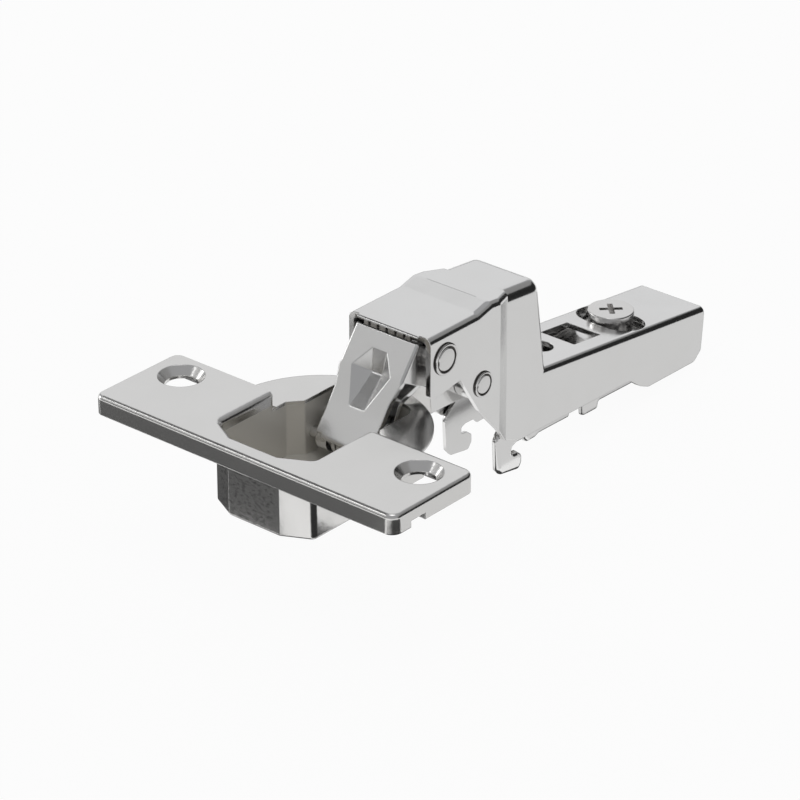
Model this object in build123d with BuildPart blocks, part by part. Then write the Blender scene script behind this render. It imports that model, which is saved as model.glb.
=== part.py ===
from build123d import *

import os
from math import cos, radians, sin, tan

# Concealed cup hinge for a furniture door, clip-on arm, swung wide open.
#
# Millimetres.  +Z stands out of the door, +Y runs towards the cabinet arm and
# +X along the line of the two door screws.  The origin is the axis of the
# 35 mm cup bore, on the face of the door.

# ---------------------------------------------------------------- fits
pin_play = 0.05          # radial, a link turning on its pin
press_play = 0.01        # radial, a pin or rivet fixed in its hole
side_play = 0.10         # axial, between washers and what they keep apart

# ---------------------------------------------------------------- cup
screw_pitch = 52.0       # between the two door screws
screw_line = -5.6        # their line, in front of the cup axis
screw_bore = 5.7
screw_sink = 8.2
plate_length = 65.4
plate_back = 0.5
plate_width = 20.3
plate_thick = 3.5
plate_corner = 1.9
wing_floor = 2.0         # each wing is hollow below, round its screw
wing_wall = 1.6
wing_hollow_from = 20.5
plate_round = 0.8
notch_y = -13.8          # a small notch under each short end
notch_width = 3.4
notch_height = 1.2
notch_reach = 1.5
mouth_round = 1.2        # rolled edge of the opening in the plate
rim_dia = 37.5
rim_thick = 0.45
body_dia = 34.9          # goes into a 35 mm bore
body_depth = 11.2
body_half = 10.8
body_round = 0.5
body_front = -16.55
facet_half = 5.5
facet_depth = 2.7        # the slanted facets run back this far
facet_round = 0.3
side_round = 1.2
cavity_wall = 0.6        # behind the front facet
floor_thick = 1.4
cavity_half = 10.3
cavity_slant = 2.75
throat_half = 8.2        # half width between the pin cheeks
throat_start = 3.0
throat_slant = 2.4
cavity_back = 15.2
cavity_corner = 3.0

# ---------------------------------------------------------------- pivots (y, z)
pivot_o = (7.5, -6.2)    # outer link in the cup
pivot_i = (11.0, -3.7)   # inner link in the cup
pivot_a = (21.5, 7.6)    # outer link in the arm
pivot_b = (31.45, -1.0)  # inner link in the arm
cup_pin_dia = 2.0
rivet_a_dia = 3.0
rivet_a_head = 5.8
rivet_b_dia = 2.6
rivet_b_head = 4.7
rivet_head_rise = 0.4
rivet_head_round = 0.3
swing_play = 1.2         # how far the inner link's big eye drifts round its rivet

# ---------------------------------------------------------------- outer link
outer_sheet = 1.1
outer_waist = (2.2, 5.6) # heights between which it narrows
outer_lower = (52.0, 6.4)   # angle and length of each straight of the bowed web
outer_middle = (56.5, 6.4)
outer_upper = (53.0, 6.8)
outer_bend = 30.0
outer_hood = 2.7         # radius of the web's front where it hoods the spring
outer_hood_end = 160.0   # degrees, how far it curls round the pin
outer_fold = 0.5         # web to cheek
outer_ear = 3.5          # radius of the side cheeks round the arm rivet
outer_cheek_low = (18.5, 2.8)
knuckle_inner = 3.7      # the eye is cut away for the spring inside this half width
gem_lean = 57.3          # the gem-shaped recess lies along the middle of the web at this angle
gem_depth = 1.9
gem_skin = 0.55
gem_half = 4.0           # at its widest
gem_top = (1.5, 4.4)     # half width and distance from the floor ridge
gem_foot = (1.4, 6.3)
gem_ridge = 1.07         # half length of the ridge across its floor

# ---------------------------------------------------------------- inner link
inner_sheet = 0.9
inner_half = 5.2
inner_stem = (70.0, 5.3)    # angle and length of each straight, up out of the cup
inner_over = (18.0, 8.2)    # over the rim
inner_drop = (-84.0, 7.6)   # down the far side
inner_bend = 2.4
inner_ear = 3.6

# ---------------------------------------------------------------- closing spring
spring_wire = 0.9
spring_turns = 4
spring_pitch = 1.2
spring_top_leg = (90.0, 1.4)  # where the leg leaves the coil, and its length
spring_low_leg = (263.0, 5.0)
spring_gap = 0.10
saddle_wide = 6.0
saddle_from = 6.9
saddle_to = 12.0
saddle_top = 0.8

# ---------------------------------------------------------------- arm
arm_sheet = 1.0
arm_front = 17.6
arm_half = 8.9
front_washer = 0.9       # beside the outer link, on both sides
outer_half = arm_half - arm_sheet - front_washer - 2 * side_play
outer_waist_half = outer_half - 0.9   # inside the cup
outer_hood_half = outer_half - 2.2
arm_bend = 1.3
rail_half = 7.55
rail_bend = 1.2
jog_start = 36.0
jog_end = 39.6
roof_low = 12.6
roof_high = 13.5
roof_rear = 12.0
roof_step_start = 30.1
roof_step_end = 33.7
roof_end = 48.9
hump_bend = 2.4
hump_round = 2.8         # roof to rear wall
rail_start = 51.5
rail_top = -6.0          # at rail_start
rail_slope = 6.9         # degrees, falling to the rear
crank_lean = 8.0         # degrees, the rear wall of the hump off vertical
crank_round = 1.6
arm_rear = 96.9
arm_foot = -21.6         # lowest edge, at the rear
lip_front = 16.9         # the roof's front edge, turned down into a comb
lip_sheet = 1.0
lip_foot = 11.4
lip_half = outer_half - 0.2
lip_round = 0.5
lip_visor = 12.25        # its slots stop below the roof
lip_slot_pitch = 1.9
lip_slot_count = 5
lip_slot_width = 0.6
lip_comb_half = lip_half - 1.6   # past the comb the visor stands alone

# ---------------------------------------------------------------- adapter
adapter_play = 0.10      # each side, inside the arm
adapter_sheet = 1.2
adapter_tilt = 1.1
adapter_web_top = -10.85 # at the side-adjust screw
adapter_web_start = 44.5
adapter_web_end = 84.5

# ---------------------------------------------------------------- screws and catch
side_screw_y = 57.6
side_hole_dia = 5.6
side_head_dia = 5.0
side_head_height = 1.5
side_head_room = 0.8     # below the rail, which slopes and slides over the head
side_shank_dia = 3.8
side_length = 8.5
bush_dia = 6.4
bush_height = 3.0
window_y = 67.0
window_x_size = 7.5
window_y_size = 7.6
cam_y = 78.7
cam_head_dia = 8.4
cam_head_thick = 1.0
cam_head_round = 0.25
cam_drum_dia = 8.0
cam_throw = 1.8
cam_shank_dia = 4.0
cam_rise = 1.9           # head above the rail
cam_washer_dia = 6.6
cam_washer_thick = 0.8
slot_play = 0.40
slot_straight = 4.6
cross_length = 4.2
cross_width = 1.0
cross_depth = 1.6
catch_pivot = (88.0, -15.2)
catch_pin_dia = 2.0
catch_half = 4.7
catch_cheek = 1.2
catch_tab_front = 94.2
catch_wire = 0.6
catch_spring_turns = 4
catch_spring_pitch = 0.7
catch_spring_leg = 4.5

os.makedirs("parts", exist_ok=True)


def side_plane(x):
    """The YZ plane at x, drawn with (y, z) points."""
    return Plane.YZ.offset(x)


def step(point, angle, length):
    """The (y, z) point that lies a length away along an angle in degrees."""
    return (point[0] + length * cos(radians(angle)), point[1] + length * sin(radians(angle)))


def coil_round(pivot, pitch, turns, radius, angle):
    """The middle line of a coil round a pin, its first turn starting at an angle."""
    first_turn = (0, cos(radians(angle)), sin(radians(angle)))
    base = Plane(origin=(-pitch * turns / 2, *pivot), x_dir=first_turn, z_dir=(1, 0, 0))
    return base * Helix(pitch=pitch, height=pitch * turns, radius=radius)


def coil_legs(coil, start_leg, end_leg):
    """Where each leg leaves a coil, which way it runs and how long it is."""
    return ((coil @ 0, -(coil % 0), start_leg), (coil @ 1, coil % 1, end_leg))


# ---------------------------------------------------------------- cup casting
# Wing plate, thin rim and faceted pot are one zinc casting.
front_gap = body_front + cavity_wall
mouth_points = [
    (0, front_gap),
    (facet_half - 0.4, front_gap),
    (cavity_half, front_gap + cavity_slant),
    (cavity_half, throat_start),
    (throat_half, throat_start + throat_slant),
    (throat_half, cavity_back),
    (0, cavity_back),
]
with BuildSketch() as mouth:
    with BuildLine():
        FilletPolyline(mouth_points, radius=[0.6, 1.2, 0.5, 0.5, cavity_corner])
        mirror(about=Plane.YZ)
    make_face()

with BuildSketch() as pot_outline:
    Circle(body_dia / 2)
    with BuildLine():
        FilletPolyline(
            (0, body_front),
            (facet_half, body_front),
            (body_half, body_front + facet_depth),
            (body_half, body_dia),
            (0, body_dia),
            radius=[facet_round, side_round, 0],
        )
        mirror(about=Plane.YZ)
    make_face(mode=Mode.INTERSECT)

with BuildPart() as wing_plate:
    with BuildSketch():
        with Locations((0, plate_back - plate_width / 2)):
            RectangleRounded(plate_length, plate_width, plate_corner)
    extrude(amount=plate_thick)
    fillet(wing_plate.faces().sort_by(Axis.Z)[-1].edges(), plate_round)
    with BuildSketch():
        add(mouth.sketch)
    extrude(amount=plate_thick, mode=Mode.SUBTRACT)
    plate_top = wing_plate.faces().sort_by(Axis.Z)[-1]
    rolled = plate_top.edges().filter_by_position(Axis.X, -cavity_half - 0.1, cavity_half + 0.1)
    rolled = rolled.filter_by_position(Axis.Y, front_gap - 0.1, plate_back - 0.05)
    fillet(rolled, mouth_round)
    with Locations((-plate_length / 2, notch_y, 0), (plate_length / 2, notch_y, 0)):
        Box(2 * notch_reach, notch_width, 2 * notch_height, mode=Mode.SUBTRACT)
    hollow_end = plate_length / 2 - wing_wall
    with BuildSketch():
        with GridLocations(wing_hollow_from + hollow_end, 0, 2, 1):
            with Locations((0, plate_back - plate_width / 2)):
                RectangleRounded(
                    hollow_end - wing_hollow_from, plate_width - 2 * wing_wall, plate_corner - 0.5
                )
    extrude(amount=plate_thick - wing_floor, mode=Mode.SUBTRACT)

with BuildPart() as cup:
    with BuildSketch(Plane.XY.offset(-body_depth)):
        add(pot_outline.sketch)
    extrude(amount=body_depth)
    fillet(cup.faces().sort_by(Axis.Z)[0].edges(), body_round)
    with BuildSketch():
        Circle(rim_dia / 2)
        with Locations((0, plate_back - rim_dia / 2)):
            Rectangle(rim_dia, rim_dia, mode=Mode.SUBTRACT)
    extrude(amount=rim_thick)
    add(wing_plate.part)
    with BuildSketch(Plane.XY.offset(floor_thick - body_depth)):
        add(mouth.sketch)
    extrude(amount=body_depth + rim_dia, mode=Mode.SUBTRACT)
    with Locations(Plane.XY.offset(plate_thick)):
        with Locations((-screw_pitch / 2, screw_line), (screw_pitch / 2, screw_line)):
            CounterSinkHole(screw_bore / 2, screw_sink / 2)
    for pivot in (pivot_o, pivot_i):
        with BuildSketch(side_plane(-body_half)):
            with Locations(pivot):
                Circle(cup_pin_dia / 2 + press_play)
        extrude(amount=2 * body_half, mode=Mode.SUBTRACT)
cup.part.label = "cup"
export_step(cup.part, "parts/cup.step")

# ---------------------------------------------------------------- cup pins
for name, pivot in (("cup_pin_outer", pivot_o), ("cup_pin_inner", pivot_i)):
    with BuildPart() as cup_pin:
        with BuildSketch(side_plane(-body_half + 0.3)):
            with Locations(pivot):
                Circle(cup_pin_dia / 2)
        extrude(amount=2 * (body_half - 0.3))
        chamfer(cup_pin.edges().filter_by(GeomType.CIRCLE), 0.2)
    cup_pin.part.label = name
    export_step(cup_pin.part, f"parts/{name}.step")

# ---------------------------------------------------------------- outer link
# One folded plate: rolled eye in the cup, bowed web, side cheeks on the arm rivet.
outer_bore = cup_pin_dia / 2 + pin_play
outer_eye = outer_bore + outer_sheet
hood_start = outer_lower[0] + 90
outer_start = step(pivot_o, hood_start, outer_hood - outer_sheet / 2)
outer_low = step(outer_start, *outer_lower)
outer_mid = step(outer_low, *outer_middle)
outer_top = step(outer_mid, *outer_upper)
coil_radius = outer_bore + spring_gap + spring_wire / 2
gem_front = step(outer_mid, gem_lean + 90, outer_sheet / 2)
gem_plane = Plane(
    origin=(0, *gem_front),
    x_dir=(1, 0, 0),
    z_dir=(0, -sin(radians(gem_lean)), cos(radians(gem_lean))),
)


def gem_form(skin, start):
    """The cut-gem hollow pressed into the web or, with a skin, the swelling behind it."""
    floor = -gem_depth - skin
    ridge = (gem_ridge, skin + 0.08)
    with BuildPart() as form:
        with BuildSketch(gem_plane.offset(start)):
            with BuildLine():
                Polyline(
                    (0, gem_top[1]),
                    gem_top,
                    (gem_half, 0),
                    (gem_foot[0], -gem_foot[1]),
                    (0, -gem_foot[1]),
                )
                mirror(about=Plane.YZ)
            make_face()
            offset(amount=skin, kind=Kind.INTERSECTION)
            scale(by=(start - floor) / -floor)
        with BuildSketch(gem_plane.offset(floor)):
            with BuildLine():
                Polyline(
                    (0, ridge[1]),
                    ridge,
                    (ridge[0] + ridge[1], 0),
                    (ridge[0], -ridge[1]),
                    (0, -ridge[1]),
                )
                mirror(about=Plane.YZ)
            make_face()
        loft(ruled=True)
    return form.part


def outer_front(y):
    """The height of the web's front face at y, along its upper straight."""
    face = step(outer_top, outer_upper[0] + 90, outer_sheet / 2)
    return face[1] + (y - face[0]) * tan(radians(outer_upper[0]))


with BuildPart() as outer_link:
    with BuildSketch(side_plane(-outer_half)):
        with BuildLine():
            FilletPolyline(outer_start, outer_low, outer_mid, outer_top, radius=outer_bend)
        trace(line_width=outer_sheet)
        with Locations(pivot_o):
            Circle(outer_eye)
            Circle(outer_bore, mode=Mode.SUBTRACT)
    extrude(amount=2 * outer_half)
    with BuildSketch(Plane.XZ.offset(-outer_top[0] - 5)):
        with BuildLine():
            Polyline(
                (0, -body_depth),
                (outer_waist_half, -body_depth),
                (outer_waist_half, outer_waist[0]),
                (outer_half, outer_waist[1]),
                (outer_half, roof_high),
                (0, roof_high),
            )
            mirror(about=Plane.YZ)
        make_face()
    extrude(amount=outer_top[0] + 10, mode=Mode.INTERSECT)
    add(gem_form(gem_skin, -outer_sheet / 2))
    add(gem_form(0, gem_depth / 4), mode=Mode.SUBTRACT)
    with BuildSketch(side_plane(-outer_hood_half)):
        with BuildLine():
            CenterArc(pivot_o, outer_hood - outer_sheet / 2, hood_start, outer_hood_end - hood_start)
        trace(line_width=outer_sheet)
    extrude(amount=2 * outer_hood_half)
    with BuildSketch(side_plane(-knuckle_inner)):
        with Locations(pivot_o):
            Circle(coil_radius + spring_wire / 2 + 1.5 * spring_gap)
    extrude(amount=2 * knuckle_inner, mode=Mode.SUBTRACT)
    for x in (-outer_half, outer_half - outer_sheet):
        with BuildSketch(side_plane(x)):
            with BuildLine():
                CenterArc(pivot_a, outer_ear, 0, 360)
                Line(outer_mid, outer_top)
                Line(outer_mid, outer_cheek_low)
            make_hull()
            with Locations(pivot_a):
                Circle(rivet_a_dia / 2 + pin_play, mode=Mode.SUBTRACT)
        extrude(amount=outer_sheet)
    cheek_folds = [
        edge
        for edge in outer_link.edges()
        if abs(abs(edge.center().X) - outer_half) < 0.01
        and edge.center().Z > outer_waist[1]
        and abs(edge.center().Z - outer_front(edge.center().Y)) < 0.2
    ]
    fillet(cheek_folds, outer_fold)
outer_link.part.label = "outer_link"
export_step(outer_link.part, "parts/outer_link.step")

# ---------------------------------------------------------------- inner link
# A C-shaped link that hooks over the rim, with an eye in the cup and two ears on the arm rivet.
inner_bore = cup_pin_dia / 2 + pin_play
inner_start = step(pivot_i, inner_stem[0] - 90, inner_bore + inner_sheet / 2)
inner_top = step(inner_start, *inner_stem)
inner_far = step(inner_top, *inner_over)
inner_foot = step(inner_far, *inner_drop)
big_bore = rivet_b_dia / 2 + swing_play
with BuildPart() as inner_link:
    with BuildSketch(side_plane(-inner_half)):
        with BuildLine():
            FilletPolyline(inner_start, inner_top, inner_far, inner_foot, radius=inner_bend)
        trace(line_width=inner_sheet)
        with Locations(pivot_i):
            Circle(inner_bore + inner_sheet)
            Circle(inner_bore, mode=Mode.SUBTRACT)
    extrude(amount=2 * inner_half)
    for x in (-inner_half, inner_half - inner_sheet):
        with BuildSketch(side_plane(x)):
            with BuildLine():
                CenterArc(pivot_b, inner_ear, 0, 360)
                Line(inner_foot, step(inner_far, inner_drop[0], 1.5))
            make_hull()
            with Locations(pivot_b):
                Circle(big_bore, mode=Mode.SUBTRACT)
        extrude(amount=inner_sheet)
inner_link.part.label = "inner_link"
export_step(inner_link.part, "parts/inner_link.step")

# ---------------------------------------------------------------- closing spring
# Torsion coil on the outer link's pin, one leg against the inner link's eye, one on the saddle.
wound = spring_turns + (spring_low_leg[0] - spring_top_leg[0]) / 360
coil_length = wound * spring_pitch
coil = coil_round(pivot_o, spring_pitch, wound, coil_radius, spring_top_leg[0])
with BuildPart() as closing_spring:
    with BuildSketch(Plane(origin=coil @ 0, z_dir=coil % 0)):
        Circle(spring_wire / 2)
    sweep(path=coil, is_frenet=True)
    for root, heading, leg in coil_legs(coil, spring_top_leg[1], spring_low_leg[1]):
        with BuildSketch(Plane(origin=root, z_dir=heading)):
            Circle(spring_wire / 2)
        extrude(amount=leg)
closing_spring.part.label = "closing_spring"
export_step(closing_spring.part, "parts/closing_spring.step")

# ---------------------------------------------------------------- spring saddle
# Moulded rest for the spring's lower leg, hollowed for the swing of the outer link.
with BuildPart() as spring_saddle:
    with BuildSketch(Plane.XY.offset(floor_thick - body_depth)):
        with Locations((0, (saddle_from + saddle_to) / 2)):
            Rectangle(saddle_wide, saddle_to - saddle_from)
    extrude(amount=saddle_top)
    with BuildSketch(side_plane(-saddle_wide)):
        with Locations(pivot_o):
            Circle(outer_hood + spring_gap)
    extrude(amount=2 * saddle_wide, mode=Mode.SUBTRACT)
    leg_root = step(pivot_o, spring_low_leg[0], coil_radius)
    leg_end = step(leg_root, spring_low_leg[0] + 90, spring_low_leg[1] + 1)
    with BuildSketch(side_plane(coil_length / 2 - spring_wire)):
        with BuildLine():
            Line(leg_root, leg_end)
        trace(line_width=spring_wire + 4 * spring_gap)
    extrude(amount=2 * spring_wire, mode=Mode.SUBTRACT)
spring_saddle.part.label = "spring_saddle"
export_step(spring_saddle.part, "parts/spring_saddle.step")

# ---------------------------------------------------------------- arm
# Folded sheet: wide humped front over the links, cranked down to a long rear rail.
rail_fall = tan(radians(rail_slope))
crank_run = tan(radians(crank_lean))
roof_fall = (roof_high - roof_rear) / (roof_end - roof_step_end)
below = arm_foot - 5


def folded_block(roof_points, plan_points, bend, fold=crank_round):
    """A solid below a roof line, with the plan's width and its long roof edges rounded."""
    reach = max(x for x, y in plan_points)
    with BuildPart() as block:
        start, end = roof_points[0][0], roof_points[-1][0]
        with BuildSketch(side_plane(-reach)) as side:
            with BuildLine():
                Polyline(roof_points, (end, below), (start, below), close=True)
            make_face()
            folds = [v for v in side.vertices() if start + 0.1 < v.X < end - 0.1]
            if folds:
                fillet(folds, fold)
        extrude(amount=2 * reach)
        with BuildSketch(Plane.XY.offset(below - 1)):
            with BuildLine():
                Polyline(plan_points)
                mirror(about=Plane.YZ)
            make_face()
        extrude(amount=roof_high - below + 2, mode=Mode.INTERSECT)
        roof_edges = [
            edge
            for edge in block.edges()
            if abs(edge.center().X) > 1 and edge.center().Z > below + 1 and abs((edge % 0.5).Z) < 0.999
        ]
        fillet(roof_edges, bend)
    return block.part


def arm_form(skin, overrun):
    """The arm's outer form, or with a skin its inner form, running past the open ends."""
    front = arm_front - overrun
    rear = arm_rear + overrun
    wide = arm_half - skin
    narrow = rail_half - skin
    crank_top = roof_end - skin
    wall_foot = crank_top + (roof_rear - below - 1) * crank_run
    rail_head = rail_top - skin
    front_block = folded_block(
        [
            (front, roof_low - skin),
            (roof_step_start, roof_low - skin),
            (roof_step_end, roof_high - skin),
            (jog_end, roof_high - skin - (jog_end - roof_step_end) * roof_fall),
        ],
        [(0, front), (wide, front), (wide, jog_start), (narrow, jog_end), (0, jog_end)],
        arm_bend - 0.7 * skin,
    )
    hump_block = folded_block(
        [
            (roof_step_end, roof_high - skin),
            (crank_top, roof_rear - skin),
            (wall_foot, below + 1),
        ],
        [(0, roof_step_end), (narrow, roof_step_end), (narrow, wall_foot + 1), (0, wall_foot + 1)],
        hump_bend - 0.7 * skin,
        hump_round - skin,
    )
    rail_block = folded_block(
        [
            (jog_end, rail_head + (rail_start - jog_end) * rail_fall),
            (rear, rail_head - (rear - rail_start) * rail_fall),
        ],
        [(0, rail_start - 5), (narrow, rail_start - 5), (narrow, rear), (0, rear)],
        rail_bend - 0.7 * skin,
    )
    return front_block + hump_block + rail_block


with BuildPart() as arm_lip:
    with BuildSketch(Plane.XY.offset(lip_foot)):
        with Locations((0, lip_front)):
            Rectangle(2 * lip_half, lip_sheet, align=(Align.CENTER, Align.MIN))
    extrude(amount=roof_low - lip_foot)
    fillet(arm_lip.edges().group_by(Axis.Z)[-1].sort_by(Axis.Y)[0], lip_round)
    with Locations((0, lip_front, lip_foot)):
        with GridLocations(lip_slot_pitch, 0, lip_slot_count, 1):
            Box(lip_slot_width, 2 * lip_sheet, 2 * (lip_visor - lip_foot), mode=Mode.SUBTRACT)
        with GridLocations(lip_comb_half + lip_half, 0, 2, 1):
            Box(lip_half - lip_comb_half, 2 * lip_sheet, 2 * (lip_visor - lip_foot), mode=Mode.SUBTRACT)

arm_outer = arm_form(0, 0)
arm_inner = arm_form(arm_sheet, 1)
rail_plane = Plane(
    origin=(0, side_screw_y, adapter_web_top),
    x_dir=(1, 0, 0),
    z_dir=(0, sin(radians(adapter_tilt)), cos(radians(adapter_tilt))),
)
window_at = (0, window_y - side_screw_y)
cam_at = (0, cam_y - side_screw_y)
with BuildPart() as arm:
    add(arm_outer)
    add(arm_inner, mode=Mode.SUBTRACT)
    with BuildSketch(side_plane(-arm_half - 1)):
        with BuildLine():
            FilletPolyline(
                (arm_front, 0.9),
                (25.6, 2.1),
                (30.8, -6.1),
                (39.2, -15.4),
                (43.5, -17.0),
                (75.0, -18.0),
                (78.0, -20.2),
                (80.5, -21.3),
                (94.3, arm_foot),
                (96.3, -19.9),
                (arm_rear, rail_top - (arm_rear - rail_start) * rail_fall - 1.5),
                (arm_rear, roof_high + 1),
                (arm_front, roof_high + 1),
                radius=[1.2, 0.8, 6.0, 1.2, 2.0, 2.0, 2.0, 2.0, 1.5, 0.8, 0, 0, 0],
                close=True,
            )
        make_face()
    extrude(amount=2 * arm_half + 2, mode=Mode.INTERSECT)
    for pivot, size in ((pivot_a, rivet_a_dia), (pivot_b, rivet_b_dia)):
        with BuildSketch(side_plane(-arm_half - 1)):
            with Locations(pivot):
                Circle(size / 2 + press_play)
        extrude(amount=2 * arm_half + 2, mode=Mode.SUBTRACT)
    with BuildSketch(rail_plane):
        Circle(side_hole_dia / 2)
        with Locations(window_at):
            Rectangle(window_x_size, window_y_size)
        with Locations(cam_at):
            SlotCenterToCenter(slot_straight, cam_drum_dia + 2 * slot_play)
    extrude(amount=10, mode=Mode.SUBTRACT)
    add(arm_lip.part)
arm.part.label = "arm"
export_step(arm.part, "parts/arm.step")

# ---------------------------------------------------------------- arm rivets
for name, pivot, size, head in (
    ("front_rivet", pivot_a, rivet_a_dia, rivet_a_head),
    ("rear_rivet", pivot_b, rivet_b_dia, rivet_b_head),
):
    with BuildPart() as rivet:
        with BuildSketch(side_plane(-arm_half)):
            with Locations(pivot):
                Circle(size / 2)
        extrude(amount=2 * arm_half)
        for x in (-arm_half - rivet_head_rise, arm_half):
            with BuildSketch(side_plane(x)):
                with Locations(pivot):
                    Circle(head / 2)
            extrude(amount=rivet_head_rise)
        outer_rings = rivet.edges().filter_by(GeomType.CIRCLE).group_by(Axis.X)
        fillet(outer_rings[0] + outer_rings[-1], rivet_head_round)
    rivet.part.label = name
    export_step(rivet.part, f"parts/{name}.step")

# ---------------------------------------------------------------- washers and spacers
for name, pivot, size, outside, link_half in (
    ("front_pivot_washers", pivot_a, rivet_a_dia, 2.5, outer_half),
    ("rear_pivot_spacers", pivot_b, rivet_b_dia, 3.2, inner_half),
):
    with BuildPart() as rings:
        for x in (-arm_half + arm_sheet + side_play, link_half + side_play):
            with BuildSketch(side_plane(x)):
                with Locations(pivot):
                    Circle(outside)
                    Circle(size / 2 + press_play, mode=Mode.SUBTRACT)
            extrude(amount=arm_half - arm_sheet - link_half - 2 * side_play)
    rings.part.label = name
    export_step(rings.part, f"parts/{name}.step")

# ---------------------------------------------------------------- adapter
# Folded channel that clips to the cabinet plate: two hooks in front, a catch behind.
adapter_half = rail_half - arm_sheet - adapter_play
channel_half = adapter_half - adapter_sheet
web_fall = tan(radians(adapter_tilt))
web_front_z = adapter_web_top - (adapter_web_start - side_screw_y) * web_fall
web_rear_z = adapter_web_top - (adapter_web_end - side_screw_y) * web_fall
with BuildPart() as adapter:
    with BuildSketch(side_plane(-adapter_half)):
        with BuildLine():
            FilletPolyline(
                (38.6, -15.6),
                (41.6, -12.9),
                (44.0, -12.6),
                (adapter_web_start, web_front_z),
                (adapter_web_end, web_rear_z),
                (86.0, -13.0),
                (92.4, -13.4),
                (93.4, -19.0),
                (76.9, -19.9),
                (67.6, -19.6),
                (67.4, -21.0),
                (63.1, -20.9),
                (62.9, -17.4),
                (59.3, -17.3),
                (59.2, -19.4),
                (50.4, -19.2),
                (49.4, -19.6),
                (47.4, -19.6),
                (46.4, -18.6),
                (44.3, -18.5),
                (43.1, -18.9),
                (43.1, -20.2),
                (44.6, -20.3),
                (45.9, -21.3),
                (45.9, -22.8),
                (45.0, -24.0),
                (40.2, -23.2),
                (39.0, -21.9),
                radius=[
                    2.0, 1.6, 0.6, 0.5, 0.5, 1.0, 1.5, 1.5, 0.3, 0.4,
                    0.7, 0.7, 0.4, 0.4, 0.4, 0.4, 0.4, 0.4, 0.3, 0.4,
                    0.5, 0.5, 0.4, 0.5, 0.4, 0.5, 0.5, 0.4,
                ],
                close=True,
            )
        make_face()
    extrude(amount=2 * adapter_half)
    with BuildSketch(side_plane(-channel_half)):
        with Locations(((arm_front + arm_rear) / 2, adapter_web_top)):
            Rectangle(2 * arm_rear, 2 * arm_rear)
    extrude(amount=2 * channel_half, mode=Mode.SUBTRACT)
    with BuildSketch(side_plane(-channel_half)):
        with BuildLine():
            Polyline(
                (adapter_web_start + 1, web_front_z - web_fall),
                (adapter_web_end - 0.5, web_rear_z + web_fall / 2),
                (adapter_web_end - 0.5, web_rear_z - adapter_sheet),
                (adapter_web_start + 1, web_front_z - adapter_sheet),
                close=True,
            )
        make_face()
    extrude(amount=2 * channel_half)
    long_edges = [
        edge
        for edge in adapter.edges().filter_by(GeomType.LINE)
        if edge.length > 30 and abs(abs(edge.center().X) - adapter_half) < 0.01 and edge.center().Z > -14
    ]
    fillet(long_edges, 0.9)
    with BuildSketch(rail_plane):
        Circle(bush_dia / 2 + press_play)
        with Locations((-cam_throw, cam_at[1])):
            Circle(cam_shank_dia / 2 + pin_play)
    extrude(amount=-6, mode=Mode.SUBTRACT)
    with BuildSketch(side_plane(-adapter_half)):
        with Locations(catch_pivot):
            Circle(catch_pin_dia / 2 + press_play)
    extrude(amount=2 * adapter_half, mode=Mode.SUBTRACT)
adapter.part.label = "adapter"
export_step(adapter.part, "parts/adapter.step")

# ---------------------------------------------------------------- depth cam screw
# Drum that fills the arm's cross slot, on a shank set off its middle in the adapter's web.
rail_at_cam = rail_top - (cam_y - rail_start) * rail_fall
web_at_cam = adapter_web_top - (cam_y - side_screw_y) * web_fall
drum_height = rail_at_cam + cam_rise - web_at_cam - side_play
shank_length = adapter_sheet + 2 * side_play + cam_washer_thick
with BuildPart() as depth_cam_screw:
    with BuildSketch(rail_plane.offset(side_play)):
        with Locations(cam_at):
            Circle(cam_drum_dia / 2)
    extrude(amount=drum_height)
    with BuildSketch(rail_plane.offset(side_play + drum_height - cam_head_thick)):
        with Locations(cam_at):
            Circle(cam_head_dia / 2)
    extrude(amount=cam_head_thick)
    head_top = depth_cam_screw.faces().sort_by(Axis.Z)[-1]
    fillet(head_top.edges(), cam_head_round)
    with BuildSketch(rail_plane.offset(side_play + drum_height)):
        with Locations(cam_at):
            Rectangle(cross_length, cross_width, rotation=45)
            Rectangle(cross_length, cross_width, rotation=-45)
    extrude(amount=-cross_depth, mode=Mode.SUBTRACT)
    with BuildSketch(rail_plane.offset(side_play)):
        with Locations((-cam_throw, cam_at[1])):
            Circle(cam_shank_dia / 2)
    extrude(amount=-side_play - shank_length - 0.5)
    with BuildSketch(rail_plane.offset(-shank_length)):
        with Locations((-cam_throw, cam_at[1])):
            Circle(cam_shank_dia / 2 + 0.6)
    extrude(amount=-0.5)
depth_cam_screw.part.label = "depth_cam_screw"
export_step(depth_cam_screw.part, "parts/depth_cam_screw.step")

with BuildPart() as cam_washer:
    with BuildSketch(rail_plane.offset(-adapter_sheet - side_play)):
        with Locations((-cam_throw, cam_at[1])):
            Circle(cam_washer_dia / 2)
            Circle(cam_shank_dia / 2 + press_play, mode=Mode.SUBTRACT)
    extrude(amount=-cam_washer_thick)
cam_washer.part.label = "cam_washer"
export_step(cam_washer.part, "parts/cam_washer.step")

# ---------------------------------------------------------------- side adjusting screw
rail_under_side = rail_top - arm_sheet - (side_screw_y - rail_start) * rail_fall
head_seat = rail_under_side - adapter_web_top - side_head_height - side_head_room
with BuildPart() as side_adjust_screw:
    with BuildSketch(rail_plane.offset(head_seat)):
        Circle(side_head_dia / 2)
    extrude(amount=side_head_height)
    chamfer(side_adjust_screw.faces().sort_by(Axis.Z)[-1].edges(), 0.3)
    with BuildSketch(rail_plane.offset(head_seat + side_head_height)):
        Rectangle(cross_length - 0.8, cross_width - 0.2, rotation=20)
        Rectangle(cross_length - 0.8, cross_width - 0.2, rotation=110)
    extrude(amount=-1.0, mode=Mode.SUBTRACT)
    with BuildSketch(rail_plane.offset(head_seat)):
        Circle(side_shank_dia / 2)
    extrude(amount=-side_length)
    chamfer(side_adjust_screw.faces().sort_by(Axis.Z)[0].edges(), 0.5)
side_adjust_screw.part.label = "side_adjust_screw"
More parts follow.
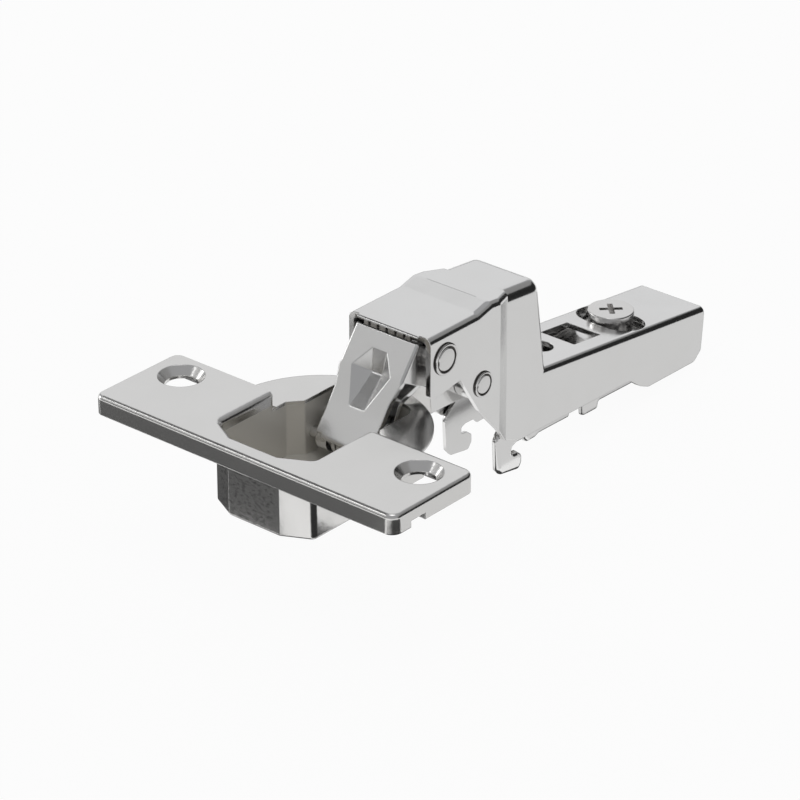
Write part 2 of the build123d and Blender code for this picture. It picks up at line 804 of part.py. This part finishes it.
export_step(side_adjust_screw.part, "parts/side_adjust_screw.step")

with BuildPart() as side_adjust_bush:
    with BuildSketch(rail_plane):
        Circle(bush_dia / 2)
        Circle(side_shank_dia / 2 + pin_play, mode=Mode.SUBTRACT)
    extrude(amount=-bush_height)
side_adjust_bush.part.label = "side_adjust_bush"
export_step(side_adjust_bush.part, "parts/side_adjust_bush.step")

# ---------------------------------------------------------------- catch
# Release lever at the rear: two cheeks with claws, joined by a thumb tab.
with BuildPart() as catch_lever:
    with BuildSketch(side_plane(-catch_half)):
        with BuildLine():
            FilletPolyline(
                (86.0, -14.0),
                (88.0, -12.9),
                (95.4, -14.4),
                (95.4, -17.4),
                (92.6, -17.4),
                (89.4, -20.2),
                (84.6, -21.2),
                (84.2, -20.0),
                (86.0, -19.2),
                radius=[1.5, 1.8, 0.6, 0.6, 1.5, 1.5, 0.3, 0.3, 0.6],
                close=True,
            )
        make_face()
        with Locations(catch_pivot):
            Circle(catch_pin_dia / 2 + pin_play, mode=Mode.SUBTRACT)
    extrude(amount=2 * catch_half)
    with BuildSketch(side_plane(-catch_half + catch_cheek)):
        with Locations((catch_tab_front, catch_pivot[1])):
            Rectangle(arm_rear, arm_rear, align=(Align.MAX, Align.CENTER))
    extrude(amount=2 * (catch_half - catch_cheek), mode=Mode.SUBTRACT)
catch_lever.part.label = "catch_lever"
export_step(catch_lever.part, "parts/catch_lever.step")

with BuildPart() as catch_pin:
    with BuildSketch(side_plane(-adapter_half)):
        with Locations(catch_pivot):
            Circle(catch_pin_dia / 2)
    extrude(amount=2 * adapter_half)
    chamfer(catch_pin.edges().filter_by(GeomType.CIRCLE), 0.2)
catch_pin.part.label = "catch_pin"
export_step(catch_pin.part, "parts/catch_pin.step")

catch_coil = catch_pin_dia / 2 + 2 * pin_play + catch_wire / 2
coil = coil_round(catch_pivot, catch_spring_pitch, catch_spring_turns, catch_coil, 90)
with BuildPart() as catch_spring:
    with BuildSketch(Plane(origin=coil @ 0, z_dir=coil % 0)):
        Circle(catch_wire / 2)
    sweep(path=coil, is_frenet=True)
    for root, heading, leg in coil_legs(coil, catch_spring_leg, catch_spring_leg):
        with BuildSketch(Plane(origin=root, z_dir=heading)):
            Circle(catch_wire / 2)
        extrude(amount=leg)
catch_spring.part.label = "catch_spring"
export_step(catch_spring.part, "parts/catch_spring.step")
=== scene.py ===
import math

import bmesh
import bpy
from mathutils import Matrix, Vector


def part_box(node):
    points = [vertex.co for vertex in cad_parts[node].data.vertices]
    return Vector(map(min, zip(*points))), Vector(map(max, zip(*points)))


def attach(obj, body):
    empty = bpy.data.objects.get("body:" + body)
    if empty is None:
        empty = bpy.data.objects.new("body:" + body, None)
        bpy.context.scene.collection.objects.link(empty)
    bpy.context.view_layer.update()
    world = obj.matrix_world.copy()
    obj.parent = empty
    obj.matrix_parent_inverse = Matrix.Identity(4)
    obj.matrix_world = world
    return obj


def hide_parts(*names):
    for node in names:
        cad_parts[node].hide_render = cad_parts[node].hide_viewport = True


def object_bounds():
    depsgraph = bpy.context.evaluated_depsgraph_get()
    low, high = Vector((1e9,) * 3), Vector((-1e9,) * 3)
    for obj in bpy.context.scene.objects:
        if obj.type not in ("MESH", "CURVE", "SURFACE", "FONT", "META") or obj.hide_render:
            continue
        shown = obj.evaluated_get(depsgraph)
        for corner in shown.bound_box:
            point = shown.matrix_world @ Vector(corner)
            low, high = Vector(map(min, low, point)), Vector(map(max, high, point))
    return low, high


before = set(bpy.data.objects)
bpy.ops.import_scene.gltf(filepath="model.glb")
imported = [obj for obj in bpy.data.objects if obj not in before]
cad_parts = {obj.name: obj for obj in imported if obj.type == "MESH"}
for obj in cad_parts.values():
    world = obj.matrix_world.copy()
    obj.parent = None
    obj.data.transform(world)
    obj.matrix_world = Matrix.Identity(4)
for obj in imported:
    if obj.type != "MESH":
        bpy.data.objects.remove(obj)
cad_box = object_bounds()
scene = bpy.context.scene
scene.view_settings.view_transform = "Standard"

# ---------------------------------------------------------------- camera
# A long lens, high on the right, looking down across the cup along the arm.
camera_place = (0.37779, -0.42487, 0.30157)
camera_turn = (math.radians(90 - 27.52), 0, math.radians(40.32))
bpy.ops.object.camera_add(location=camera_place, rotation=camera_turn)
camera = bpy.context.object
camera.name = "camera"
camera.data.lens = 175.68
camera.data.sensor_width = 36.0
camera.data.clip_start = 0.05
scene.camera = camera

# ---------------------------------------------------------------- room and paper
# A soft grey room over white paper.  The paper is level with the lowest point
# of the hinge, and shows white wherever it is seen, with the hinge's shadow.
world = bpy.data.worlds.new("room")
scene.world = world
world.use_nodes = True
nodes, links = world.node_tree.nodes, world.node_tree.links
room = nodes["Background"]
room.inputs["Color"].default_value = (0.92, 0.93, 0.95, 1)
room.inputs["Strength"].default_value = 0.40
plain = nodes.new("ShaderNodeBackground")
plain.inputs["Color"].default_value = (1, 1, 1, 1)
plain.inputs["Strength"].default_value = 1.0
path = nodes.new("ShaderNodeLightPath")
choose = nodes.new("ShaderNodeMixShader")
links.new(path.outputs["Is Camera Ray"], choose.inputs["Fac"])
links.new(room.outputs["Background"], choose.inputs[1])
links.new(plain.outputs["Background"], choose.inputs[2])
links.new(choose.outputs["Shader"], nodes["World Output"].inputs["Surface"])

floor_gap = 0.0002
floor_side = 6.0
floor_height = cad_box[0][2] - floor_gap
bpy.ops.mesh.primitive_plane_add(size=floor_side, location=(0, 0, floor_height))
floor = bpy.context.object
floor.name = "floor"
paper = bpy.data.materials.new("paper")
paper.use_nodes = True
nodes, links = paper.node_tree.nodes, paper.node_tree.links
nodes["Principled BSDF"].inputs["Base Color"].default_value = (0.86, 0.86, 0.855, 1)
nodes["Principled BSDF"].inputs["Roughness"].default_value = 0.9
glow = nodes.new("ShaderNodeEmission")
glow.inputs["Color"].default_value = (1, 1, 1, 1)
glow.inputs["Strength"].default_value = 1.0
path = nodes.new("ShaderNodeLightPath")
seen = nodes.new("ShaderNodeMath")
seen.operation = "MAXIMUM"
seen_in_metal = nodes.new("ShaderNodeMath")
seen_in_metal.operation = "MAXIMUM"
paper_glow = nodes.new("ShaderNodeMath")
paper_glow.operation = "MULTIPLY"
paper_glow.inputs[1].default_value = 0.95
lit = nodes.new("ShaderNodeMixShader")
links.new(path.outputs["Is Camera Ray"], seen.inputs[0])
links.new(path.outputs["Is Glossy Ray"], seen_in_metal.inputs[0])
links.new(path.outputs["Is Transmission Ray"], seen_in_metal.inputs[1])
links.new(seen_in_metal.outputs[0], seen.inputs[1])
links.new(seen.outputs[0], paper_glow.inputs[0])
links.new(paper_glow.outputs[0], lit.inputs["Fac"])
links.new(nodes["Principled BSDF"].outputs["BSDF"], lit.inputs[1])
links.new(glow.outputs["Emission"], lit.inputs[2])
links.new(lit.outputs["Shader"], nodes["Material Output"].inputs["Surface"])
floor.data.materials.append(paper)


# ---------------------------------------------------------------- lamps and cards
# Broad soft lamps round the table.  Dark cards stand among them, and lie on the
# paper, to give bright metal its dark bands; only the metal sees them.
def toward(azimuth, elevation, distance):
    """A place round the hinge, from its direction in degrees and its distance."""
    a, e = math.radians(azimuth), math.radians(elevation)
    return distance * Vector((math.cos(a) * math.cos(e), math.sin(a) * math.cos(e), math.sin(e)))


def lamp(name, azimuth, elevation, distance, wide, high, radiance):
    """A soft lamp that faces the hinge from one direction."""
    place = toward(azimuth, elevation, distance)
    bpy.ops.object.light_add(type="AREA", location=place)
    light = bpy.context.object
    light.name = name
    light.data.shape = "RECTANGLE"
    light.data.size = wide
    light.data.size_y = high
    light.data.energy = radiance * math.pi * wide * high
    light.rotation_euler = place.to_track_quat("Z", "Y").to_euler()


def card(name, place, turn, wide, deep, tone):
    """A card of one tone that only shows in the metal."""
    bpy.ops.mesh.primitive_plane_add(size=1.0, location=place)
    sheet = bpy.context.object
    sheet.name = name
    sheet.scale = (wide, deep, 1)
    sheet.rotation_euler = turn
    stock = bpy.data.materials.new(name + "_stock")
    stock.use_nodes = True
    shade = stock.node_tree.nodes
    shine = shade.new("ShaderNodeEmission")
    shine.inputs["Color"].default_value = (tone, tone, tone, 1)
    shine.inputs["Strength"].default_value = 1.0
    stock.node_tree.links.new(shine.outputs["Emission"], shade["Material Output"].inputs["Surface"])
    sheet.data.materials.append(stock)
    sheet.visible_camera = False
    sheet.visible_diffuse = False
    sheet.visible_shadow = False
    sheet.visible_transmission = False


def standing_card(name, azimuth, elevation, distance, wide, high, tone):
    """A card that faces the hinge from one direction."""
    place = toward(azimuth, elevation, distance)
    card(name, place, place.to_track_quat("Z", "Y").to_euler(), wide, high, tone)


lamp("lamp_behind", 132, 30, 0.9, 0.95, 0.75, 0.42)
lamp("lamp_front", -140, 42.5, 0.9, 0.34, 0.10, 2.2)
lamp("lamp_above", 0, 88, 0.9, 0.40, 0.40, 1.4)
card_lift = 0.0003
card_height = floor_height + card_lift
for name, x, y, tone in (
    ("card_front", (-0.095, 0.010), (-0.085, -0.0300), 0.115),
    ("card_west", (-0.100, -0.027), (-0.024, 0.030), 0.09),
    ("card_corner", (0.021, 0.100), (-0.064, 0.008), 0.03),
    ("card_side", (0.0095, 0.110), (0.012, 0.160), 0.72),
    ("card_jog", (0.0068, 0.0095), (0.052, 0.120), 0.52),
    ("card_far_hook", (-0.0090, 0.0045), (0.036, 0.062), 0.70),
    # The three cards under the cup, its front and the rail are painted shadow: dark sheets where the
    # paper lies in the hinge's shade, seen only in the metal.
    ("card_shadow_under_cup", (-0.015, 0.013), (-0.024, 0.020), 0.05),
    ("card_shadow_under_front", (0.0045, 0.0070), (0.0205, 0.062), 0.05),
    ("card_shadow_under_rail", (-0.0090, 0.0070), (0.062, 0.104), 0.05),
):
    middle = ((x[0] + x[1]) / 2, (y[0] + y[1]) / 2, card_height)
    card(name, middle, (0, 0, 0), x[1] - x[0], y[1] - y[0], tone)
upright = (math.radians(90), 0, math.radians(135))
stand_x, stand_y, stand_width = 0.120, 0.120, 0.34
card("card_right", (stand_x, stand_y, floor_height + 0.050), upright, stand_width, 0.10, 0.02)
card("card_right_top", (stand_x, stand_y, floor_height + 0.155), upright, stand_width, 0.11, 0.28)
standing_card("card_left", -177, 54, 0.5, 0.42, 0.15, 0.12)
standing_card("card_web", -131, 25, 0.5, 0.34, 0.19, 0.56)
standing_card("card_rim", -164, 12, 0.5, 0.20, 0.17, 2.6)
standing_card("card_low", -127, 4, 0.48, 0.40, 0.13, 0.10)


# ---------------------------------------------------------------- cup
# The screw-on plate and its pot: one zinc die casting, barrelled and bright
# nickel plated, so its edges are round and its sides keep a cast mottle.
def node_group(name, inputs, outputs):
    """An empty shader group with its named sockets."""
    group = bpy.data.node_groups.new(name, "ShaderNodeTree")
    for label, kind, value in inputs:
        socket = group.interface.new_socket(label, in_out="INPUT", socket_type=kind)
        socket.default_value = value
    for label, kind in outputs:
        group.interface.new_socket(label, in_out="OUTPUT", socket_type=kind)
    return group, group.nodes.new("NodeGroupInput"), group.nodes.new("NodeGroupOutput")


def build_surface_group():
    """Colour, gloss, rounded edges and fine relief of a plated surface."""
    group, given, out = node_group(
        "plated_surface",
        [
            ("Tone", "NodeSocketColor", (0.8, 0.8, 0.8, 1)),
            ("Gloss", "NodeSocketFloat", 0.22),
            ("Gloss Change", "NodeSocketFloat", 0.06),
            ("Mottle Size", "NodeSocketFloat", 700.0),
            ("Mottle Depth", "NodeSocketFloat", 0.02),
            ("Scratch Depth", "NodeSocketFloat", 0.05),
            ("Edge Radius", "NodeSocketFloat", 0.0001),
        ],
        [("Color", "NodeSocketColor"), ("Roughness", "NodeSocketFloat"), ("Normal", "NodeSocketVector")],
    )
    nodes, links = group.nodes, group.links
    place = nodes.new("ShaderNodeTexCoord")
    cloud = nodes.new("ShaderNodeTexNoise")
    cloud.inputs["Scale"].default_value = 90.0
    cloud.inputs["Detail"].default_value = 5.0
    cloud.inputs["Roughness"].default_value = 0.6
    links.new(place.outputs["Object"], cloud.inputs["Vector"])
    centre = nodes.new("ShaderNodeMath")
    centre.operation = "SUBTRACT"
    centre.inputs[1].default_value = 0.5
    links.new(cloud.outputs["Fac"], centre.inputs[0])
    spread = nodes.new("ShaderNodeMath")
    spread.operation = "MULTIPLY_ADD"
    links.new(centre.outputs[0], spread.inputs[0])
    links.new(given.outputs["Gloss Change"], spread.inputs[1])
    links.new(given.outputs["Gloss"], spread.inputs[2])
    links.new(spread.outputs[0], out.inputs["Roughness"])
    stain = nodes.new("ShaderNodeMixRGB")
    stain.blend_type = "MULTIPLY"
    stain.inputs["Color2"].default_value = (0.94, 0.938, 0.93, 1)
    links.new(cloud.outputs["Fac"], stain.inputs["Fac"])
    links.new(given.outputs["Tone"], stain.inputs["Color1"])
    links.new(stain.outputs["Color"], out.inputs["Color"])
    edge = nodes.new("ShaderNodeBevel")
    edge.samples = 8
    links.new(given.outputs["Edge Radius"], edge.inputs["Radius"])
    mottle = nodes.new("ShaderNodeTexNoise")
    mottle.inputs["Detail"].default_value = 2.0
    links.new(place.outputs["Object"], mottle.inputs["Vector"])
    links.new(given.outputs["Mottle Size"], mottle.inputs["Scale"])
    cast = nodes.new("ShaderNodeBump")
    cast.inputs["Distance"].default_value = 0.0002
    links.new(given.outputs["Mottle Depth"], cast.inputs["Strength"])
    links.new(edge.outputs["Normal"], cast.inputs["Normal"])
    links.new(mottle.outputs["Fac"], cast.inputs["Height"])
    squeeze = nodes.new("ShaderNodeMapping")
    squeeze.inputs["Scale"].default_value = (0.12, 1.0, 1.0)
    squeeze.inputs["Rotation"].default_value = (0.3, 0.2, 1.25)
    links.new(place.outputs["Object"], squeeze.inputs["Vector"])
    scratch = nodes.new("ShaderNodeTexNoise")
    scratch.inputs["Scale"].default_value = 5200.0
    scratch.inputs["Detail"].default_value = 3.0
    links.new(squeeze.outputs["Vector"], scratch.inputs["Vector"])
    fine = nodes.new("ShaderNodeBump")
    fine.inputs["Distance"].default_value = 0.00002
    links.new(given.outputs["Scratch Depth"], fine.inputs["Strength"])
    links.new(scratch.outputs["Fac"], fine.inputs["Height"])
    links.new(cast.outputs["Normal"], fine.inputs["Normal"])
    links.new(fine.outputs["Normal"], out.inputs["Normal"])
    return group


plated_surface = build_surface_group()


def plated(name, tone, gloss, change, mottle_size, mottle_depth, scratch_depth, edge, metallic=1.0):
    """A material with the plated surface's colour, gloss and relief."""
    metal = bpy.data.materials.new(name)
    metal.use_nodes = True
    nodes, links = metal.node_tree.nodes, metal.node_tree.links
    shader = nodes["Principled BSDF"]
    shader.inputs["Metallic"].default_value = metallic
    surface = nodes.new("ShaderNodeGroup")
    surface.node_tree = plated_surface
    surface.inputs["Tone"].default_value = (*tone, 1)
    surface.inputs["Gloss"].default_value = gloss
    surface.inputs["Gloss Change"].default_value = change
    surface.inputs["Mottle Size"].default_value = mottle_size
    surface.inputs["Mottle Depth"].default_value = mottle_depth
    surface.inputs["Scratch Depth"].default_value = scratch_depth
    surface.inputs["Edge Radius"].default_value = edge
    links.new(surface.outputs["Color"], shader.inputs["Base Color"])
    links.new(surface.outputs["Roughness"], shader.inputs["Roughness"])
    links.new(surface.outputs["Normal"], shader.inputs["Normal"])
    return metal


def region_mask(tree, low, high, blur, slant=0.0, slant_from=0.0):
    """A value of one inside a box of the hinge's own coordinates, fading over a blur along each axis.

    With a slant, the box runs back on both sides beyond a half width, as the pocket's wall does.
    """
    nodes, links = tree.nodes, tree.links

    def figure(kind, first, second):
        node = nodes.new("ShaderNodeMath")
        node.operation = kind
        for socket, value in zip(node.inputs, (first, second)):
            if isinstance(value, (int, float)):
                socket.default_value = value
            else:
                links.new(value, socket)
        return node.outputs[0]

    place = nodes.new("ShaderNodeTexCoord")
    split = nodes.new("ShaderNodeSeparateXYZ")
    links.new(place.outputs["Object"], split.inputs["Vector"])
    sideways = figure("ABSOLUTE", split.outputs["X"], 0.0)
    beyond = figure("MAXIMUM", figure("SUBTRACT", sideways, slant_from), 0.0)
    back = figure("SUBTRACT", split.outputs["Y"], figure("MULTIPLY", beyond, slant))
    mask = None
    for value, start, end, fade in zip((split.outputs["X"], back, split.outputs["Z"]), low, high, blur):
        for edge, sign in ((start, 1), (end, -1)):
            ramp = nodes.new("ShaderNodeMapRange")
            ramp.inputs["From Min"].default_value = edge - sign * fade / 2
            ramp.inputs["From Max"].default_value = edge + sign * fade / 2
            links.new(value, ramp.inputs["Value"])
            inside = ramp.outputs["Result"]
            mask = inside if mask is None else figure("MULTIPLY", mask, inside)
    return mask


def tinted(tree, share, tone):
    """The colour is multiplied by a tone, to the share given."""
    nodes, links = tree.nodes, tree.links
    base = nodes["Principled BSDF"].inputs["Base Color"]
    tint = nodes.new("ShaderNodeMixRGB")
    tint.blend_type = "MULTIPLY"
    tint.inputs["Color2"].default_value = (*tone, 1)
    links.new(share, tint.inputs["Fac"])
    links.new(base.links[0].from_socket, tint.inputs["Color1"])
    links.new(tint.outputs["Color"], base)


def dulled_and_painted_shade(metal, low, high, blur, tone, gloss, bare=0.0, **slant):
    """Within a box, the metal takes another tone, loses gloss and may lie bare, with a matt skin. The
    tone is the pocket's own dull tint, and painted shade on the comb.
    """
    tree = metal.node_tree
    nodes, links = tree.nodes, tree.links
    shader = nodes["Principled BSDF"]
    mask = region_mask(tree, low, high, blur, **slant)
    tinted(tree, mask, tone)
    polish = shader.inputs["Roughness"].links[0].from_socket
    rough = nodes.new("ShaderNodeMath")
    rough.operation = "MULTIPLY_ADD"
    rough.inputs[1].default_value = gloss
    links.new(mask, rough.inputs[0])
    links.new(polish, rough.inputs[2])
    links.new(rough.outputs[0], shader.inputs["Roughness"])
    if bare:
        skin = nodes.new("ShaderNodeMath")
        skin.operation = "MULTIPLY_ADD"
        skin.inputs[1].default_value = -bare
        skin.inputs[2].default_value = 1.0
        links.new(mask, skin.inputs[0])
        for before in shader.inputs["Metallic"].links:
            links.new(before.from_socket, skin.inputs[2])
        links.new(skin.outputs[0], shader.inputs["Metallic"])


def speckled(metal, low, high, blur, tone):
    """Within a box, the skin of the mould shows as small darker specks."""
    tree = metal.node_tree
    nodes, links = tree.nodes, tree.links
    place = nodes.new("ShaderNodeTexCoord")
    squeeze = nodes.new("ShaderNodeMapping")
    squeeze.inputs["Scale"].default_value = (0.55, 0.55, 1.0)
    links.new(place.outputs["Object"], squeeze.inputs["Vector"])
    speck = nodes.new("ShaderNodeTexNoise")
    speck.inputs["Scale"].default_value = 2100.0
    speck.inputs["Detail"].default_value = 3.0
    links.new(squeeze.outputs["Vector"], speck.inputs["Vector"])
    part = nodes.new("ShaderNodeMapRange")
    part.inputs["From Min"].default_value = 0.50
    part.inputs["From Max"].default_value = 0.66
    links.new(speck.outputs["Fac"], part.inputs["Value"])
    share = nodes.new("ShaderNodeMath")
    share.operation = "MULTIPLY"
    links.new(part.outputs["Result"], share.inputs[0])
    links.new(region_mask(tree, low, high, blur), share.inputs[1])
    tinted(tree, share.outputs[0], tone)


def finish(material, *names):
    """These solids take this material."""
    for name in names:
        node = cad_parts[name]
        node.data.materials.clear()
        node.data.materials.append(material)


casting_tone = (0.80, 0.793, 0.783)
plated_casting = plated("plated_casting", casting_tone, 0.20, 0.10, 560.0, 0.14, 0.10, 0.00024)
# The plating hardly reaches the deep pocket, which stays dull and brownish: in
# the pot all round, and above the door's face only between the wings.
pocket_half = 0.01055
pocket_front = -0.01625
pocket_back = 0.0154
wings_back = -0.0022
pocket_floor = -0.0110
rim_level = -0.0002
wing_level = 0.0011
pocket_tone = (1.0, 0.98, 0.93)
pocket_fade = (0.0003, 0.0003, 0.0003)
facets = {"slant": 0.52, "slant_from": 0.0053}
for back, bottom, top in (
    (pocket_back, pocket_floor, rim_level),
    (wings_back, rim_level, wing_level),
):
    low = (-pocket_half, pocket_front, bottom)
    high = (pocket_half, back, top)
    dulled_and_painted_shade(plated_casting, low, high, pocket_fade, pocket_tone, 0.18, bare=0.7, **facets)
# The pot's front keeps more of the mould's skin, as small dark specks.
skin_low = (-0.0100, -0.0210, -0.0125)
skin_high = (0.0045, -0.0150, -0.0018)
skin_fade = (0.0010, 0.0005, 0.0008)
skin_tone = (0.60, 0.60, 0.60)
speckled(plated_casting, skin_low, skin_high, skin_fade, skin_tone)
finish(plated_casting, "cup")

# ---------------------------------------------------------------- cup pins
# Two turned steel pins pressed across the pot.  The outer link turns on the
# front one and the inner link on the other.
pin_steel = plated("pin_steel", (0.78, 0.775, 0.77), 0.24, 0.08, 900.0, 0.02, 0.16, 0.00004)
finish(pin_steel, "cup_pin_outer", "cup_pin_inner")

# ---------------------------------------------------------------- links
# Two folded steel links between the pot and the arm.  The outer one is a broad
# web with a pressed gem-shaped recess, rolled round its pin.  The inner one is
# C-shaped, passes over the rim and lies hidden under the arm.
plated_link = plated("plated_link", (0.80, 0.797, 0.792), 0.19, 0.10, 420.0, 0.06, 0.14, 0.00038)
sheet_tone = (0.815, 0.812, 0.808)
plated_sheet = plated("plated_sheet", sheet_tone, 0.17, 0.08, 500.0, 0.03, 0.10, 0.00024)
finish(plated_link, "outer_link")
finish(plated_sheet, "inner_link")

# ---------------------------------------------------------------- closing spring and its saddle
# A coil of hardened wire on the outer link's cup pin, left unplated, and the
# grey moulded nylon saddle that it rests on.
spring_steel = plated("spring_steel", (0.62, 0.61, 0.60), 0.28, 0.10, 900.0, 0.03, 0.2, 0.00005)
saddle_nylon = plated("saddle_nylon", (0.30, 0.30, 0.31), 0.5, 0.1, 900.0, 0.1, 0.1, 0.0001, metallic=0.0)
finish(spring_steel, "closing_spring")
finish(saddle_nylon, "spring_saddle")

# ---------------------------------------------------------------- arm
# The cranked arm: one steel sheet folded down on both sides, with its hump and
# its long rail, then plated.  The comb along its front edge is sheared and less
# glossy, and is painted darker there: painted shade for the shade under the roof's edge.
plated_arm = plated("plated_arm", sheet_tone, 0.17, 0.08, 500.0, 0.03, 0.10, 0.00024)
comb_shade_low = (-0.0076, 0.0160, 0.0100)
comb_shade_high = (0.0076, 0.01775, 0.0122)
comb_shade_fade = (0.0002, 0.0002, 0.0002)
# Painted shade: the comb is darkened in colour for the shade it lies in under the roof's edge.
comb_painted_shade_tone = (0.42, 0.41, 0.39)
dulled_and_painted_shade(plated_arm, comb_shade_low, comb_shade_high, comb_shade_fade, comb_painted_shade_tone, 0.15)
finish(plated_arm, "arm")

# ---------------------------------------------------------------- rivets
# Two steel rivets close the arm over its links.  Each is headed over on both
# sides, which leaves a rolled ring round a flat struck face.
# The dark rivet material is painted shade in each head's groove and a painted contact shadow round its
# foot.
rivet_groove_painted_shade = plated("rivet_groove_painted_shade", (0.10, 0.095, 0.09), 0.45, 0.10, 900.0, 0.02, 0.16, 0.00004)
same_place = 0.000001      # points this close are one
head_rise = 0.0004         # how far a head stands proud of the arm
head_softness = 0.00006
groove_shade_band = (0.72, 0.82)  # between the rolled ring and the struck face, in head radii
foot_shadow_edge = 0.985          # the shadowed foot of the head, in head radii


def headed_rivet(name, pivot, shank, head, body):
    """A rivet across the arm, turned up from a disc at each end."""
    y, z = pivot
    rise = head_rise
    low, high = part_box(name)
    bpy.ops.object.select_all(action="DESELECT")
    bpy.ops.mesh.primitive_cylinder_add(
        vertices=72,
        radius=shank,
        depth=high.x - low.x - 2 * rise,
        location=(0, y, z),
        rotation=(0, math.radians(90), 0),
    )
    rivet = bpy.context.object
    rivet.name = name + "_headed"
    bpy.ops.object.transform_apply(location=True, rotation=True, scale=True)
    bpy.ops.object.mode_set(mode="EDIT")
    bpy.ops.mesh.select_mode(type="FACE")
    for side in (-1, 1):
        end = side * (high.x - rise)
        bpy.ops.mesh.select_all(action="DESELECT")
        mesh = bmesh.from_edit_mesh(rivet.data)
        for face in mesh.faces:
            face.select = abs(face.calc_center_median().x - end) < same_place
        bmesh.update_edit_mesh(rivet.data)
        last, level = shank, 0
        for radius, x in (
            (head, 0),
            (head, 0.60 * rise),
            (0.93 * head, rise),
            (0.84 * head, rise),
            (0.78 * head, 0.45 * rise),
            (0.73 * head, 0.45 * rise),
            (0.67 * head, 0.95 * rise),
        ):
            grow = radius / last
            bpy.ops.mesh.extrude_region_move(TRANSFORM_OT_translate={"value": (side * (x - level), 0, 0)})
            bpy.ops.transform.resize(value=(1, grow, grow), center_override=(0, y, z))
            last, level = radius, x
    bpy.ops.mesh.select_all(action="SELECT")
    bpy.ops.mesh.remove_doubles(threshold=same_place)
    bpy.ops.mesh.normals_make_consistent(inside=False)
    bpy.ops.object.mode_set(mode="OBJECT")
    soften = rivet.modifiers.new("soft_edge", "BEVEL")
    soften.width = head_softness
    soften.segments = 2
    soften.limit_method = "ANGLE"
    soften.angle_limit = math.radians(25)
    bpy.ops.object.modifier_apply(modifier="soft_edge")
    bpy.ops.object.shade_smooth_by_angle(angle=math.radians(35))
    rivet.data.materials.append(pin_steel)
    rivet.data.materials.append(rivet_groove_painted_shade)
    # Painted shade: faces in the groove band and round the foot of each head take the dark material.
    for face in rivet.data.polygons:
        middle = face.center
        reach = math.hypot(middle.y - y, middle.z - z) / head
        on_head = abs(middle.x) > high.x - 1.2 * rise
        if on_head and (groove_shade_band[0] < reach < groove_shade_band[1] or reach > foot_shadow_edge):
            face.material_index = 1
    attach(rivet, body)
    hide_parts(name)


headed_rivet("front_rivet", (0.0215, 0.0076), 0.0015, 0.0029, "arm")
headed_rivet("rear_rivet", (0.03145, -0.0010), 0.0013, 0.00235, "arm")

# ---------------------------------------------------------------- pivot washers and spacers
# Turned steel rings on the two rivets, which keep the links central in the arm.
# They are the same bright steel as the pins.
finish(pin_steel, "front_pivot_washers", "rear_pivot_spacers")

# ---------------------------------------------------------------- adapter
# The folded steel channel inside the arm, which clips on the cabinet's plate.
# Its two front hooks and its feet hang below the arm's sides.
finish(plated_sheet, "adapter")

# ---------------------------------------------------------------- depth cam screw and washer
# The screw with a cross recess and an eccentric stem, which slides the adapter
# in the arm, and the washer under its riveted end.  Both are plated steel.
screw_plate = plated("screw_plate", (0.80, 0.79, 0.78), 0.22, 0.10, 700.0, 0.05, 0.2, 0.00010)
finish(screw_plate, "depth_cam_screw", "cam_washer")

# ---------------------------------------------------------------- side screw and bush
# The side adjusting screw below the round hole in the rail, and the bush it is
# screwed through, which is pressed into the adapter.
finish(screw_plate, "side_adjust_screw", "side_adjust_bush")

# ---------------------------------------------------------------- catch
# The rear catch: a bent steel lever on a cross pin in the adapter, and the
# small wire spring that holds it closed.
finish(plated_sheet, "catch_lever")
finish(pin_steel, "catch_pin")
finish(spring_steel, "catch_spring")
